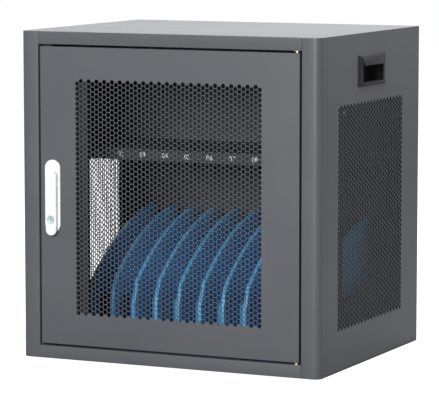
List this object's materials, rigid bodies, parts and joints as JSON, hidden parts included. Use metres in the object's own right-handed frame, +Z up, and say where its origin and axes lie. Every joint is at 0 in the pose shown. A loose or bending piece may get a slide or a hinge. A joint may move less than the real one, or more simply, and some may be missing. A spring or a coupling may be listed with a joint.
{
  "type": "laptop charging cabinet",
  "caption": "Steel desktop cabinet with a perforated lockable door, upright divided bays for charging laptops or tablets, and carry handles on its sides.",
  "frame": {"origin": "middle of the bottom of the whole object's box", "axes": "+Z up, the door faces -Y, +X is to the right when facing the door"},
  "size_m": [0.4022, 0.3242, 0.396],
  "materials": {
    "cabinet_paint": "fine textured powder coat, dark grey",
    "door_paint": "fine textured powder coat, dark grey",
    "cheek_paint": "satin paint, dark grey",
    "shelf_paint": "satin paint, dark grey, white bay numbers on the lip",
    "panel_paint": "satin paint, mid grey",
    "divider_plastic": "moulded blue plastic",
    "dark_plastic": "black, matt",
    "handle_plastic": "black, semi-gloss",
    "rocker_plastic": "dark red",
    "supply_case": "grey",
    "circuit_board": "black board",
    "port_shell": "black shells",
    "contact_metal": "plain",
    "bush_brass": "plain",
    "screw_steel": "zinc plated",
    "lock_chrome": "bright, slightly frosted",
    "key_face": "pale bluish",
    "bumper_rubber": "soft"
  },
  "bodies": {
    "cabinet": {"front_stile_right": "cabinet_paint", "front_stile_left": "cabinet_paint", "front_rail_top": "cabinet_paint", "front_rail_bottom": "cabinet_paint", "top_panel": "cabinet_paint", "base_pan": "cabinet_paint", "side_panel_right": "cabinet_paint", "side_panel_left": "cabinet_paint", "back_panel": "cabinet_paint", "rear_angles": "cabinet_paint", "cheek_right": "cheek_paint", "cheek_left": "cheek_paint", "bay_shelf": "shelf_paint", "compartment_panel": "panel_paint", "rear_partition": "panel_paint", "power_supply": "supply_case", "charging_board": "circuit_board", "charging_ports": "port_shell", "mains_inlet": "dark_plastic", "inlet_blades": "contact_metal", "switch_housing": "dark_plastic", "divider_base": "dark_plastic", "divider_01": "divider_plastic", "divider_02": "divider_plastic", "divider_03": "divider_plastic", "divider_04": "divider_plastic", "divider_05": "divider_plastic", "divider_06": "divider_plastic", "divider_07": "divider_plastic", "divider_08": "divider_plastic", "divider_09": "divider_plastic", "divider_10": "divider_plastic", "divider_11": "divider_plastic", "carry_handle_right": "handle_plastic", "carry_handle_left": "handle_plastic", "hinge_bush_top": "bush_brass", "hinge_bush_bottom": "bush_brass", "back_screws": "screw_steel", "cheek_screws": "screw_steel"},
    "door": {"door_skin": "door_paint", "door_frame": "door_paint", "door_stiffener": "door_paint", "door_bumpers": "bumper_rubber", "hinge_brackets": "door_paint", "hinge_pins": "screw_steel", "handle_base": "lock_chrome", "lock_nut": "screw_steel"},
    "spindle": {"lock_spindle": "screw_steel", "lock_cam": "screw_steel", "cam_screw": "screw_steel"},
    "lever": {"handle_lever": "lock_chrome", "lever_pin": "screw_steel"},
    "barrel": {"lock_barrel": "key_face"},
    "rocker": {"switch_rocker": "rocker_plastic"}
  },
  "joints": [
    {"name": "door_swing", "type": "hinge", "parent": "cabinet", "child": "door", "pos_m": [0.165, -0.1491, 0.198], "axis": [0, 0, 1], "range_deg": [0, 105]},
    {"name": "handle_turn", "type": "hinge", "parent": "door", "child": "spindle", "pos_m": [-0.1526, -0.1541, 0.2234], "axis": [0, -1, 0], "range_deg": [0, 90]},
    {"name": "lever_lift", "type": "hinge", "parent": "spindle", "child": "lever", "pos_m": [-0.1526, -0.1591, 0.2234], "axis": [-1, 0, 0], "range_deg": [0, 24]},
    {"name": "key_turn", "type": "hinge", "parent": "lever", "child": "barrel", "pos_m": [-0.1526, -0.1541, 0.17], "axis": [0, -1, 0], "range_deg": [0, 90]},
    {"name": "switch_rock", "type": "hinge", "parent": "cabinet", "child": "rocker", "pos_m": [-0.07, 0.1519, 0.33], "axis": [1, 0, 0], "range_deg": [-7, 7]}
  ]
}
